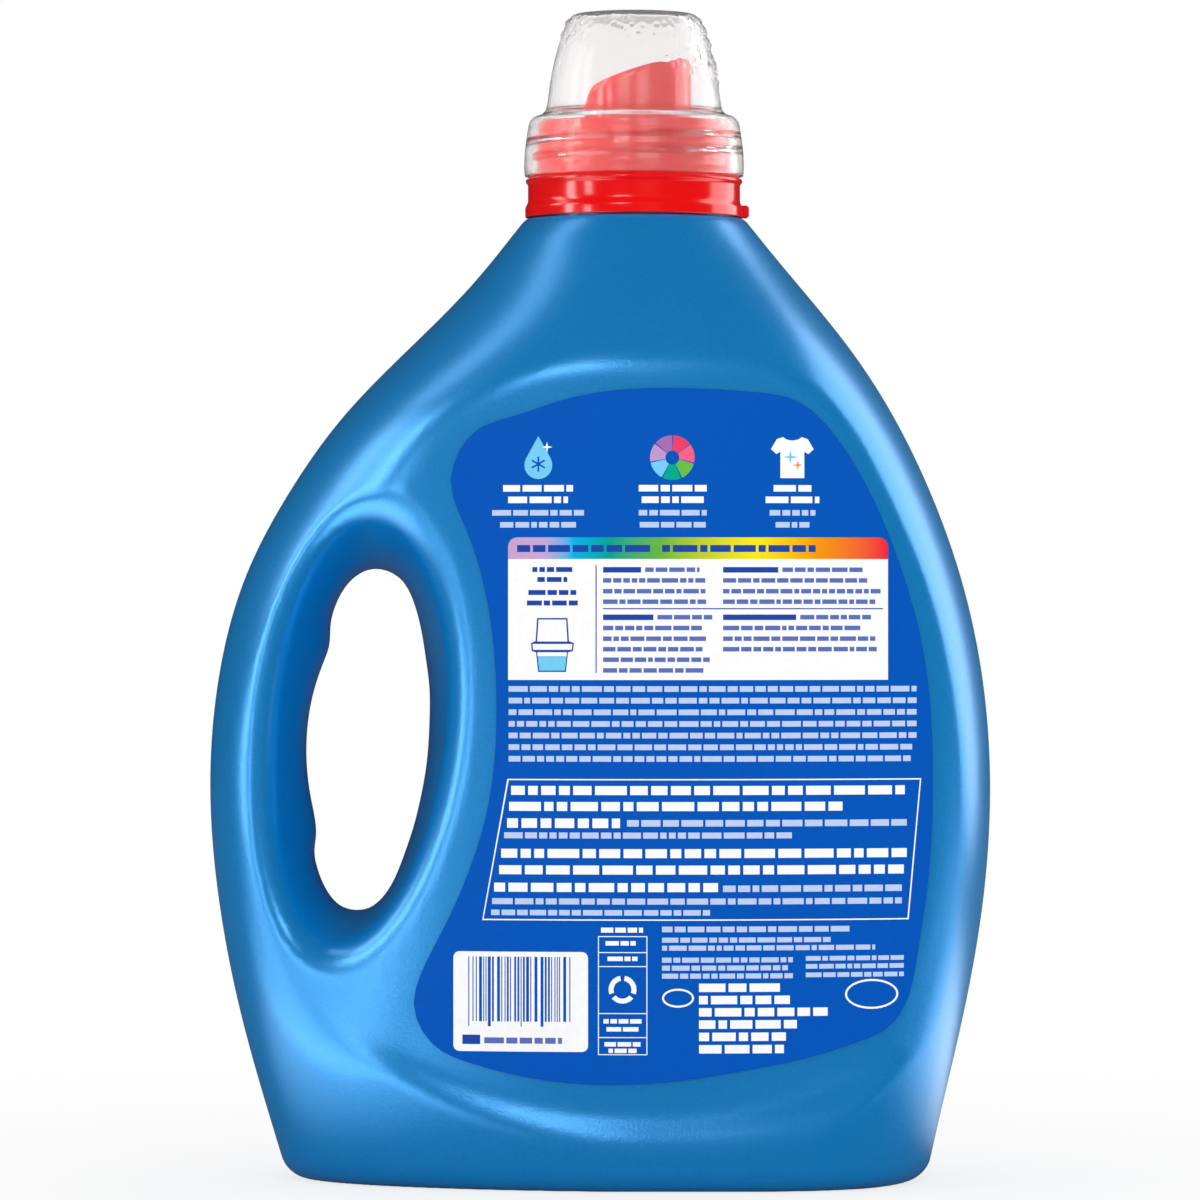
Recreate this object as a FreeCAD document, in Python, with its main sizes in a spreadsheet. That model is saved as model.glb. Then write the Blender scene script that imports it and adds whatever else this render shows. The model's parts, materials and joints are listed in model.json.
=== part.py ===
# Laundry detergent bottle with a side handle, a pouring spout and a dosing cap.
# Millimetres, +Z up, origin under the middle of the base, the handle towards -X
# and the instruction label towards -Y.
import FreeCAD, Part
import math
import os

import Sketcher

from FreeCAD import Vector

doc = FreeCAD.newDocument("detergent_bottle")
sheet = doc.addObject("Spreadsheet::Sheet", "sizes")

SIZES = [
    # Blown bottle: overall size, wall and base
    ("body_height", 239.5),
    ("reach_left", 97.4),
    ("reach_right", 97.4),
    ("half_depth", 52.4),
    ("belly_centre", 12),
    ("wall_thickness", 1.2),
    ("base_radius", 4),
    ("base_recess_depth", 4),
    ("base_rim_width", 11),
    # Shoulder shelf and neck
    ("neck_offset", 8.5),
    ("shelf_radius", 28.5),
    ("neck_radius", 25.2),
    ("neck_height", 9.5),
    # Label panels, shallow upright cylinders on the two broad sides
    ("panel_radius", 230),
    ("panel_recess", 2.9),
    ("panel_offset", 14),
    ("panel_foot_radius", 130.5),
    ("panel_foot_offset", 11),
    ("panel_foot_height", 17.5),
    ("panel_step_slope", 0.75),
    # Hollow flank between each label panel and the handle
    ("flank_angle", 27.75),
    ("flank_radius", 500),
    ("flank_touch_offset", 33.5),
    ("flank_touch_depth", 44),
    ("flank_centre_height", 115),
    # Handle hole and the flare that rounds the handle off
    ("hole_left", 73.4),
    ("hole_right", 42.6),
    ("hole_top", 152),
    ("hole_bottom", 66.75),
    ("flare_depth", 60),
    ("flare_left", 54),
    ("flare_right", 9.5),
    ("flare_top", 42),
    ("flare_bottom", 35),
    ("grip_fade_depth", 14),
    ("hole_lean", 0.18),
    # Pouring spout, heights above the shoulder shelf
    ("seat_gap", 0.3),
    ("collar_gap", 0.25),
    ("collar_radius", 27.25),
    ("collar_waist_radius", 26.5),
    ("collar_bead_radius", 27.05),
    ("collar_band_height", 2.5),
    ("collar_taper_height", 2),
    ("bead_height", 1.3),
    ("bead_taper", 0.5),
    ("bead_rise", 0.3),
    ("thread_foot_width", 1.5),
    ("thread_foot_height", 2),
    ("thread_foot_taper", 1),
    ("deck_thickness", 1.4),
    ("thread_wall_radius", 24.1),
    ("thread_wall_top", 24),
    ("spout_wall", 1.3),
    ("spout_radius", 14.25),
    ("spout_top", 39.5),
    ("spout_lip_drop", 4),
    ("mouth_margin", 1.5),
    ("mouth_bend_reach", 8.5),
    ("mouth_bend_drop", 3),
    ("mouth_slot_reach", 12),
    ("mouth_slot_drop", 7),
    ("slot_sill_height", 1.2),
    ("plug_depth", 5),
    ("nub_reach", 1.5),
    ("nub_width", 5),
    ("nub_height", 3),
    # Dosing cap
    ("cap_gap", 0.9),
    ("cap_wall", 1.4),
    ("cap_height", 40.65),
    ("skirt_radius", 27.5),
    ("skirt_straight_height", 5.4),
    ("skirt_top_radius", 26.4),
    ("skirt_height", 12.9),
    ("skirt_bevel", 1.3),
    ("roof_bevel", 0.8),
    ("cup_foot_bevel", 0.5),
    ("cup_foot_height", 15.8),
    ("cup_shoulder_radius", 22.3),
    ("cup_shoulder_height", 17),
    ("cup_neck_radius", 18.6),
    ("cup_neck_height", 33.4),
    ("cup_top_radius", 17),
    ("cup_top_height", 38.4),
    ("cup_crown_radius", 13.75),
    # Labels
    ("label_gap", 0.15),
    ("label_thickness", 0.25),
    ("label_offset", 18.6),
    ("label_half_width", 65.4),
    ("label_centre_height", 110.2),
    ("label_half_height", 87.3),
]

for row, (alias, value) in enumerate(SIZES, start=1):
    sheet.set(f"A{row}", alias)
    sheet.set(f"B{row}", str(value))
    sheet.setAlias(f"B{row}", alias)
doc.recompute()


def size(alias):
    return float(sheet.get(alias))


# Body stations from base to shoulder shelf. Each has its share of the height, then how far
# the left, right and front have swelled from the neck circle (0) to the full reach (1),
# and the left and right roundness of the section (2 is an ellipse, more is squarer).
STATIONS = [
    (0.000, 0.748, 0.735, 0.912, 1.75, 4.2),
    (0.058, 0.803, 0.786, 0.967, 1.90, 4.6),
    (0.167, 0.898, 0.886, 1.000, 2.20, 5.4),
    (0.292, 0.973, 0.972, 1.000, 2.20, 6.0),
    (0.405, 1.000, 1.000, 1.000, 2.20, 6.0),
    (0.530, 0.968, 0.963, 1.000, 2.20, 5.8),
    (0.635, 0.875, 0.868, 1.000, 2.25, 5.6),
    (0.718, 0.738, 0.747, 1.000, 2.45, 5.2),
    (0.802, 0.547, 0.581, 0.990, 2.55, 4.6),
    (0.864, 0.359, 0.420, 0.866, 2.35, 3.8),
    (0.927, 0.166, 0.220, 0.500, 2.10, 2.7),
    (0.969, 0.057, 0.082, 0.190, 2.02, 2.15),
    (0.985, 0.018, 0.031, 0.070, 2.00, 2.0),
    (1.000, -0.019, -0.017, -0.040, 2.00, 2.0),
]
SECTION_STEPS = 10

# Hole outline, counter-clockwise from the right, as shares of its half width and half
# height, with the finger bumps near the top and the bottom of the handle side
HOLE_OUTLINE = [
    (1.00, 0.14), (0.95, -0.14), (0.86, -0.33), (0.73, -0.52), (0.60, -0.66), (0.45, -0.80),
    (0.25, -0.92), (0.01, -0.99), (-0.18, -1.00), (-0.37, -0.99), (-0.57, -0.94), (-0.73, -0.85),
    (-0.83, -0.75), (-0.87, -0.66), (-0.84, -0.56), (-0.86, -0.46), (-0.93, -0.33), (-1.00, -0.05),
    (-0.96, 0.14), (-0.84, 0.33), (-0.70, 0.47), (-0.62, 0.57), (-0.61, 0.66), (-0.54, 0.78),
    (-0.41, 0.88), (-0.16, 0.97), (0.15, 1.00), (0.42, 0.97), (0.66, 0.88), (0.80, 0.74),
    (0.88, 0.61), (0.94, 0.47), (1.00, 0.28),
]
FLARE_RINGS = (-1.0, -0.5, -0.22, 0.0, 0.22, 0.5, 1.0)

# Label outline, clockwise from the top, as shares of its half width and half height
LABEL_OUTLINE = [
    (0.04, 1.00), (0.43, 0.97), (0.59, 0.90), (0.72, 0.74), (0.88, 0.46), (0.98, 0.17),
    (1.00, -0.06), (0.98, -0.38), (0.90, -0.76), (0.79, -0.86), (0.59, -0.91), (0.30, -0.96),
    (-0.29, -1.00), (-0.58, -0.97), (-0.80, -0.92), (-0.97, -0.83), (-0.98, -0.69),
    (-0.80, -0.42), (-0.71, -0.21), (-0.67, 0.01), (-0.68, 0.26), (-0.71, 0.44),
    (-0.84, 0.68), (-0.85, 0.75), (-0.74, 0.88), (-0.29, 0.98),
]


def closed_curve(points, pace=None):
    """Smooth closed curve; curves of one loft share a pace, the spacing of their knots."""
    pace = pace or points
    knots = [0.0]
    for index in range(len(pace)):
        knots.append(knots[-1] + pace[index].distanceToPoint(pace[(index + 1) % len(pace)]))
    curve = Part.BSplineCurve()
    curve.interpolate(Points=points, PeriodicFlag=True, Parameters=knots)
    return Part.Wire(curve.toShape())


def section_wire(station, inset, height):
    share, left, right, front, round_left, round_right = station
    shelf = size("shelf_radius")
    neck = size("neck_offset")
    centre = size("belly_centre") + (neck - size("belly_centre")) * share ** 4
    reach_left = shelf - neck + left * (size("reach_left") - shelf + neck)
    reach_right = shelf + neck + right * (size("reach_right") - shelf - neck)
    depth = shelf + front * (size("half_depth") - shelf) - inset
    wide_left = reach_left + centre - inset
    wide_right = reach_right - centre - inset
    quarter_right = []
    quarter_left = []
    for step in range(SECTION_STEPS + 1):
        angle = math.pi / 2 * step / SECTION_STEPS
        along = math.cos(angle)
        across = math.sin(angle)
        reach = on_section(along, across, round_right)
        quarter_right.append((centre + wide_right * reach[0], depth * reach[1]))
        reach = on_section(along, across, round_left)
        quarter_left.append((centre - wide_left * reach[0], depth * reach[1]))
    ring = quarter_right + quarter_left[-2::-1]
    ring = ring + [(x, -y) for x, y in ring[-2:0:-1]]
    return closed_curve([Vector(x, y, height) for x, y in ring])


def on_section(along, across, roundness):
    low = 0.0
    high = 2.0
    for halving in range(40):
        middle = (low + high) / 2
        inside = (middle * along) ** roundness + (middle * across) ** 2 < 1
        low, high = (middle, high) if inside else (low, middle)
    return low * along, low * across


def envelope(inset):
    top = size("body_height") - inset
    wires = []
    for station in STATIONS:
        height = inset + station[0] * (top - inset)
        wires.append(section_wire(station, inset, height))
    return Part.makeLoft(wires, True, False)


def panel_cut(side, inset):
    """Everything outside one label panel, above the arc that bounds its foot."""
    far = 4 * size("half_depth")
    crest = size("half_depth") - size("panel_recess") - inset
    radius = size("panel_radius")
    tall = 2 * size("body_height")
    slab = Part.makeBox(4 * size("reach_left"), far, tall)
    slab.translate(Vector(-2 * size("reach_left"), 0, 0))
    bulge = Part.makeCylinder(radius, tall)
    bulge.translate(Vector(size("panel_offset"), crest - radius, 0))
    outside = slab.cut(bulge)
    foot = size("panel_foot_radius")
    centre_height = size("panel_foot_height") + foot
    flare = far / size("panel_step_slope")
    bowl = Part.makeCone(foot, foot + flare, far, Vector(0, 0, 0), Vector(0, 1, 0))
    bowl.translate(Vector(size("panel_foot_offset"), crest, centre_height))
    core = Part.makeCylinder(foot, crest, Vector(0, 0, 0), Vector(0, 1, 0))
    core.translate(Vector(size("panel_foot_offset"), 0, centre_height))
    upper = Part.makeBox(4 * size("reach_left"), far, tall)
    upper.translate(Vector(-2 * size("reach_left"), 0, centre_height))
    cut = outside.common(bowl.fuse([core, upper]))
    return cut if side > 0 else cut.mirror(Vector(0, 0, 0), Vector(0, 1, 0))


def flank_cut(side, inset):
    """Hollow flank: a lying cylinder of large radius that touches the body beside the panel."""
    angle = math.radians(size("flank_angle"))
    outward = Vector(-math.sin(angle), math.cos(angle), 0)
    along = Vector(math.cos(angle), math.sin(angle), 0)
    touch = Vector(-size("flank_touch_offset"), size("flank_touch_depth"), size("flank_centre_height"))
    radius = size("flank_radius")
    centre = touch + outward * (radius - inset) - along * 4 * size("reach_left")
    cut = Part.makeCylinder(radius, 8 * size("reach_left"), centre, along)
    return cut if side > 0 else cut.mirror(Vector(0, 0, 0), Vector(0, 1, 0))


def handle_cut(growth):
    """The handle hole: an hourglass that flares towards both broad sides."""
    wires = []
    depth = size("flare_depth")
    lean = size("hole_lean")
    tall = (size("hole_top") - size("hole_bottom")) / (size("hole_left") - size("hole_right"))
    pace = [Vector(across, 0, up * tall) for across, up in HOLE_OUTLINE]
    for share in FLARE_RINGS:
        flare = share * share
        left = size("hole_left") + flare * size("flare_left") + growth
        right = size("hole_right") - flare * size("flare_right") - growth
        top = size("hole_top") + flare * size("flare_top") + growth
        bottom = size("hole_bottom") - flare * size("flare_bottom") - growth
        fade = min(1.0, abs(share) * depth / size("grip_fade_depth"))
        ring = []
        for across, up in HOLE_OUTLINE:
            angle = math.atan2(up, across - lean * up)
            across += fade * (math.cos(angle) + lean * math.sin(angle) - across)
            up += fade * (math.sin(angle) - up)
            x = -(left + right) / 2 + across * (left - right) / 2
            z = (top + bottom) / 2 + up * (top - bottom) / 2
            ring.append(Vector(x, share * depth, z))
        wires.append(closed_curve(ring, pace))
    return Part.makeLoft(wires, True, False)


def base_recess(growth):
    rim = size("base_rim_width") - growth
    lower = section_wire(STATIONS[0], rim, -1)
    upper = section_wire(STATIONS[0], rim + size("base_recess_depth"), size("base_recess_depth") + growth)
    return Part.makeLoft([lower, upper], True, True)


def carved(inset):
    """The body's outer form, or its hollow when inset by the wall."""
    form = envelope(inset)
    foot = [edge for edge in form.Edges if edge.BoundBox.ZMax < inset + 0.01]
    form = form.makeFillet(size("base_radius") - inset, foot)
    for side in (1, -1):
        form = form.cut(panel_cut(side, inset))
        form = form.cut(flank_cut(side, inset))
    form = form.cut(handle_cut(inset))
    return form.cut(base_recess(inset))


def make_bottle():
    outer = doc.addObject("Part::Feature", "blown_outer")
    outer.Shape = carved(0)
    hollow = doc.addObject("Part::Feature", "blown_hollow")
    hollow.Shape = carved(size("wall_thickness"))
    neck = doc.addObject("Part::Cylinder", "neck_outside")
    neck.setExpression("Radius", "sizes.neck_radius")
    neck.setExpression("Height", "sizes.neck_height + sizes.wall_thickness")
    neck.setExpression("Placement.Base.x", "sizes.neck_offset")
    neck.setExpression("Placement.Base.z", "sizes.body_height - sizes.wall_thickness")
    bore = doc.addObject("Part::Cylinder", "neck_bore")
    bore.setExpression("Radius", "sizes.neck_radius - sizes.wall_thickness")
    bore.setExpression("Height", "sizes.neck_height + 4 * sizes.wall_thickness")
    bore.setExpression("Placement.Base.x", "sizes.neck_offset")
    bore.setExpression("Placement.Base.z", "sizes.body_height - 3 * sizes.wall_thickness")
    solid = doc.addObject("Part::Fuse", "bottle_solid")
    solid.Base = outer
    solid.Tool = neck
    shell = doc.addObject("Part::Cut", "bottle_shell")
    shell.Base = solid
    shell.Tool = hollow
    bottle = doc.addObject("Part::Cut", "bottle")
    bottle.Base = shell
    bottle.Tool = bore
    bottle.Label = "bottle"
    return bottle


def new_body(name, height_expression):
    body = doc.addObject("PartDesign::Body", name)
    body.Label = name
    body.setExpression("Placement.Base.x", "sizes.neck_offset")
    body.setExpression("Placement.Base.z", height_expression)
    return body


def measure(words):
    """A length written as names and numbers with plus and minus: its value and expression."""
    total = 0.0
    sign = 1
    expression = []
    for word in words.split():
        if word in ("+", "-"):
            sign = 1 if word == "+" else -1
            expression.append(word)
            continue
        named = word[0].isalpha()
        total += sign * (size(word) if named else float(word))
        expression.append("sizes." + word if named else word)
    return total, " ".join(expression)


def upright_sketch(body, name, corners):
    """Closed outline in the XZ plane whose corners are bound to the sheet."""
    plane = [item for item in body.Origin.OriginFeatures if item.Role == "XZ_Plane"][0]
    sketch = body.newObject("Sketcher::SketchObject", name)
    sketch.AttachmentSupport = [(plane, "")]
    sketch.MapMode = "FlatFace"
    spots = [(measure(across), measure(up)) for across, up in corners]
    count = len(spots)
    for index in range(count):
        start = Vector(spots[index][0][0], spots[index][1][0], 0)
        following = spots[(index + 1) % count]
        end = Vector(following[0][0], following[1][0], 0)
        sketch.addGeometry(Part.LineSegment(start, end), False)
    for index in range(count):
        sketch.addConstraint(Sketcher.Constraint("Coincident", index, 2, (index + 1) % count, 1))
    for index, spot in enumerate(spots):
        for kind, (value, expression) in zip(("DistanceX", "DistanceY"), spot):
            if kind == "DistanceX" and value == 0:
                sketch.addConstraint(Sketcher.Constraint("PointOnObject", index, 1, -2))
                continue
            number = sketch.addConstraint(Sketcher.Constraint(kind, -1, 1, index, 1, value))
            sketch.setExpression(f"Constraints[{number}]", expression)
    return sketch


def revolve(body, sketch):
    turned = body.newObject("PartDesign::Revolution", sketch.Name + "_turned")
    turned.Profile = sketch
    turned.ReferenceAxis = (sketch, ["V_Axis"])
    turned.Angle = 360
    return turned


def make_pour_spout():
    """Snap-on fitment: collar, threaded wall, drain-back deck, spout tube and plug ring."""
    body = new_body("pour_spout", "sizes.body_height")
    deck = "neck_height"
    floor = deck + " + deck_thickness"
    bead_top = deck + " + bead_rise"
    bead_foot = bead_top + " - bead_height"
    foot_top = bead_top + " + thread_foot_height"
    plug = "neck_radius - wall_thickness - seat_gap"
    outline = [
        ("neck_radius + seat_gap", "collar_gap"),
        ("collar_radius", "collar_gap"),
        ("collar_radius", "collar_gap + collar_band_height"),
        ("collar_waist_radius", "collar_gap + collar_band_height + collar_taper_height"),
        ("collar_waist_radius", bead_foot + " - bead_taper"),
        ("collar_bead_radius", bead_foot),
        ("collar_bead_radius", bead_top),
        ("thread_wall_radius + thread_foot_width", bead_top),
        ("thread_wall_radius + thread_foot_width", foot_top),
        ("thread_wall_radius", foot_top + " + thread_foot_taper"),
        ("thread_wall_radius", "thread_wall_top"),
        ("thread_wall_radius - spout_wall", "thread_wall_top"),
        ("thread_wall_radius - spout_wall", floor),
        ("spout_radius", floor),
        ("spout_radius", "spout_top"),
        ("spout_radius - spout_wall", "spout_top"),
        ("spout_radius - spout_wall", deck),
        (plug + " - spout_wall", deck),
        (plug + " - spout_wall", deck + " - plug_depth"),
        (plug, deck + " - plug_depth"),
        (plug, deck),
        ("neck_radius + seat_gap", deck),
    ]
    revolve(body, upright_sketch(body, "spout_outline", outline))
    doc.recompute()
    mouth = [
        ("spout_radius + mouth_margin", "spout_top + mouth_margin"),
        ("spout_radius + mouth_margin", "spout_top"),
        ("0", "spout_top - spout_lip_drop"),
        ("0 - mouth_bend_reach", "spout_top - spout_lip_drop - mouth_bend_drop"),
        ("0 - mouth_slot_reach", "spout_top - spout_lip_drop - mouth_slot_drop"),
        ("0 - spout_radius - mouth_margin", floor + " + slot_sill_height"),
        ("0 - spout_radius - mouth_margin", "spout_top + mouth_margin"),
    ]
    slot = body.newObject("PartDesign::Pocket", "spout_mouth")
    slot.Profile = upright_sketch(body, "mouth_outline", mouth)
    slot.Midplane = True
    slot.setExpression("Length", "2 * (sizes.spout_radius + sizes.mouth_margin)")
    doc.recompute()
    nub_root = "collar_waist_radius - seat_gap"
    nub_outline = [
        (nub_root, "collar_gap"),
        ("collar_radius + nub_reach", "collar_gap"),
        ("collar_radius + nub_reach", "collar_gap + nub_height"),
        (nub_root, "collar_gap + nub_height"),
    ]
    nub = body.newObject("PartDesign::Pad", "collar_nub")
    nub.Profile = upright_sketch(body, "nub_outline", nub_outline)
    nub.Midplane = True
    nub.setExpression("Length", "sizes.nub_width")
    body.Tip = nub
    return body


def make_dosing_cap():
    """Screw cap that is also the measuring cup: wide skirt, shoulder and narrow cup."""
    seat = "sizes.body_height + sizes.neck_height + sizes.bead_rise + sizes.cap_gap"
    body = new_body("dosing_cap", seat)
    roof = "thread_wall_top + seat_gap - neck_height - bead_rise - cap_gap"
    skirt_inside = "skirt_radius - cap_wall"
    outline = [
        ("0", "cap_height"),
        ("0", "cap_height - cap_wall"),
        ("cup_crown_radius - cap_wall", "cap_height - cap_wall"),
        ("cup_top_radius - cap_wall", "cup_top_height - seat_gap"),
        ("cup_neck_radius - cap_wall", "cup_neck_height"),
        ("cup_shoulder_radius - cap_wall", "cup_shoulder_height"),
        ("cup_shoulder_radius - cap_wall", roof),
        (skirt_inside + " - skirt_bevel", roof),
        (skirt_inside + " - roof_bevel", roof + " - skirt_bevel"),
        (skirt_inside, "skirt_straight_height"),
        (skirt_inside, "0"),
        ("skirt_radius", "0"),
        ("skirt_radius", "skirt_straight_height"),
        ("skirt_top_radius", "skirt_height"),
        ("skirt_top_radius - skirt_bevel", "skirt_height + skirt_bevel"),
        ("cup_shoulder_radius + cup_foot_bevel", "cup_foot_height"),
        ("cup_shoulder_radius", "cup_shoulder_height"),
        ("cup_neck_radius", "cup_neck_height"),
        ("cup_top_radius", "cup_top_height"),
        ("cup_crown_radius", "cap_height"),
    ]
    revolve(body, upright_sketch(body, "cap_outline", outline))
    return body


def make_label(name, side):
    """Thin label glued on the panel: its outline cut out of a cylindrical skin."""
    crest = size("half_depth") - size("panel_recess")
    radius = size("panel_radius")
    outline = []
    for across, up in LABEL_OUTLINE:
        x = size("label_offset") + across * size("label_half_width")
        z = size("label_centre_height") + up * size("label_half_height")
        outline.append(Vector(x, 0, z))
    block = Part.Face(closed_curve(outline)).extrude(Vector(0, 2 * crest, 0))
    centre = Vector(size("panel_offset"), crest - radius, 0)
    face = radius + size("label_gap")
    outside = Part.makeCylinder(face + size("label_thickness"), 2 * size("body_height"), centre)
    inside = Part.makeCylinder(face, 2 * size("body_height"), centre)
    skin = block.common(outside.cut(inside))
    label = doc.addObject("Part::Feature", name)
    label.Shape = skin if side > 0 else skin.mirror(Vector(0, 0, 0), Vector(0, 1, 0))
    label.Label = name
    return label


parts = [
    make_bottle(),
    make_pour_spout(),
    make_dosing_cap(),
    make_label("back_label", -1),
    make_label("front_label", 1),
]
doc.recompute()

for item in doc.Objects:
    if "Invalid" in item.State or "Error" in item.State:
        raise RuntimeError(f"{item.Label} did not build")

os.makedirs("parts", exist_ok=True)
for part in parts:
    if part.Shape.isNull() or not part.Shape.isValid():
        raise RuntimeError(f"{part.Label} has no valid shape")
    part.Shape.exportStep(f"parts/{part.Label}.step")
    print(part.Label, len(part.Shape.Solids), "solid", round(part.Shape.Volume / 1000, 2), "ml")
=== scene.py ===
import json
import math
import random

import bmesh
import bpy
import numpy as np
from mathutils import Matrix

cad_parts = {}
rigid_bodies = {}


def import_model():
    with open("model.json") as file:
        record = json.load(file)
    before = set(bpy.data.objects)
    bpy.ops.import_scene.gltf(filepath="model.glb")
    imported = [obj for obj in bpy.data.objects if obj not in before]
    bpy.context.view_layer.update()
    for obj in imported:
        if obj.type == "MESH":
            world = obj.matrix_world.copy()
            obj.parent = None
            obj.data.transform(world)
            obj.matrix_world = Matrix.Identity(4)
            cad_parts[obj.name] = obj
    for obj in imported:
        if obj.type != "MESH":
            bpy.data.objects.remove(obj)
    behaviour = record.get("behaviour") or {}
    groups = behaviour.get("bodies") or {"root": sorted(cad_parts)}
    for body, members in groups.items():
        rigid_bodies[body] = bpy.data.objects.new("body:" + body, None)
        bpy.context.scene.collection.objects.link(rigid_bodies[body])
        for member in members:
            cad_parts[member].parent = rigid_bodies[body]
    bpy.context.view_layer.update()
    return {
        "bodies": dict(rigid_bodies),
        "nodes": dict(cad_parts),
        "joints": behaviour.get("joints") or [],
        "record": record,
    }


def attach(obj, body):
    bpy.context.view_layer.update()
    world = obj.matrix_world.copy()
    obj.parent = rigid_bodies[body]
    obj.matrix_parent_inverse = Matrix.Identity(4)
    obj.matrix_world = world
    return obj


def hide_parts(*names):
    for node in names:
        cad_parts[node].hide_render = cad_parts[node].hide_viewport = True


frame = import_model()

import openvdb
from mathutils import Vector
from mathutils.geometry import delaunay_2d_cdt

MM = 0.001

# Bottle, in millimetres, in the CAD frame
BODY_HEIGHT = 239.5
REACH_LEFT = 97.4
REACH_RIGHT = 97.4
HALF_DEPTH = 52.4
BELLY_CENTRE = 12.0
WALL = 1.2
BASE_ROUND = 5.0
BASE_RECESS = 4.0
BASE_RIM = 11.0
RECESS_SOFT = 2.0
RIM_SOFT = 1.5
TOP_ROUND = 0.8
SHELF_RADIUS = 28.5
NECK_OFFSET = 8.5
NECK_RADIUS = 25.2
NECK_TOP = 249.0
NECK_SEGMENTS = 128
ON_AXIS = 0.01

# Space in which the bottle's surface is looked for, and how finely
FORM_LOW = (-102.0, -57.0, -4.0)
FORM_HIGH = (102.0, 57.0, 246.0)
SHELL_VOXEL = 1.6
HOLLOW_VOXEL = 2.6

# Share of the height, swell of left, right and front, roundness of left and right
STATIONS = np.array([
    (0.000, 0.748, 0.735, 0.912, 1.75, 4.2),
    (0.058, 0.803, 0.786, 0.967, 1.90, 4.6),
    (0.167, 0.898, 0.886, 1.000, 2.20, 5.4),
    (0.292, 0.973, 0.972, 1.000, 2.20, 6.0),
    (0.405, 1.000, 1.000, 1.000, 2.20, 6.0),
    (0.530, 0.968, 0.963, 1.000, 2.20, 5.8),
    (0.635, 0.875, 0.868, 1.000, 2.25, 5.6),
    (0.718, 0.738, 0.747, 1.000, 2.45, 5.2),
    (0.802, 0.547, 0.581, 0.985, 2.55, 4.6),
    (0.864, 0.359, 0.420, 0.790, 2.35, 3.8),
    (0.927, 0.166, 0.220, 0.430, 2.10, 2.7),
    (0.969, 0.057, 0.082, 0.165, 2.02, 2.15),
    (0.985, 0.018, 0.031, 0.070, 2.00, 2.0),
    (1.000, -0.019, -0.017, -0.040, 2.00, 2.0),
])

# Label panels
PANEL_RADIUS = 230.0
PANEL_CREST = 49.5
PANEL_OFFSET = 14.0
FOOT_RADIUS = 130.5
FOOT_OFFSET = 11.0
FOOT_HEIGHT = 17.5
STEP_SLOPE = 0.75
STEP_EASE = 6.0

# Flank between the panel and the handle, turned further back below the twist's top
FLANK_ANGLE = math.radians(22.5)
FLANK_TWIST = math.radians(5.5)
TWIST_TOP = 90.0
TWIST_RUN = 70.0
FLANK_RADIUS = 400.0
FLANK_TOUCH = (-33.5, 44.0, 105.0)

# Left, right, top and bottom of the handle hole, how its flare moves them, and its bumpy outline
HOLE = (73.4, 42.6, 152.0, 66.75)
FLARE = (60.0, -12.5, 42.0, -35.0)
FLARE_DEPTH = 60.0
GRIP_FADE = 14.0
HOLE_LEAN = 0.18
HOLE_OUTLINE = [
    (1.00, 0.14), (0.95, -0.14), (0.86, -0.33), (0.73, -0.52), (0.60, -0.66), (0.45, -0.80),
    (0.25, -0.92), (0.01, -0.99), (-0.18, -1.00), (-0.37, -0.99), (-0.57, -0.94), (-0.73, -0.85),
    (-0.83, -0.75), (-0.87, -0.66), (-0.84, -0.56), (-0.86, -0.46), (-0.93, -0.33), (-1.00, -0.05),
    (-0.96, 0.14), (-0.84, 0.33), (-0.70, 0.47), (-0.62, 0.57), (-0.61, 0.66), (-0.54, 0.78),
    (-0.41, 0.88), (-0.16, 0.97), (0.15, 1.00), (0.42, 0.97), (0.66, 0.88), (0.80, 0.74),
    (0.88, 0.61), (0.94, 0.47), (1.00, 0.28),
]

# How softly the forms meet: the crease by height, the hole from the handle to the body
CREASE_HEIGHTS = (40, 150)
CREASE_SOFT = (5.0, 1.4)
FLANK_SOFT = 3.0
HANDLE_SOFT = (6.0, 5.5)
HANDLE_EDGE = -70.0
HANDLE_RUN = 16.0

# Label, outline as shares of its half width and half height
LABEL_CENTRE = (18.6, 110.2)
LABEL_HALF = (65.4, 87.3)
LABEL_LIFT = 0.15
LABEL_THICK = 0.25
LABEL_GRID = 4.0
LABEL_OUTLINE = [
    (0.00, 0.98), (0.28, 0.97), (0.46, 0.94), (0.60, 0.84), (0.81, 0.54), (0.93, 0.22),
    (0.96, -0.08), (0.94, -0.41), (0.90, -0.61), (0.85, -0.75), (0.78, -0.81), (0.69, -0.84),
    (0.52, -0.88), (0.26, -0.92), (0.00, -0.95), (-0.27, -0.96), (-0.56, -0.94), (-0.78, -0.90),
    (-0.91, -0.85), (-0.98, -0.74), (-0.95, -0.65), (-0.87, -0.53), (-0.78, -0.38), (-0.70, -0.18),
    (-0.67, 0.08), (-0.70, 0.37), (-0.79, 0.60), (-0.84, 0.72), (-0.82, 0.79), (-0.75, 0.86),
    (-0.62, 0.90), (-0.41, 0.95),
]


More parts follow.
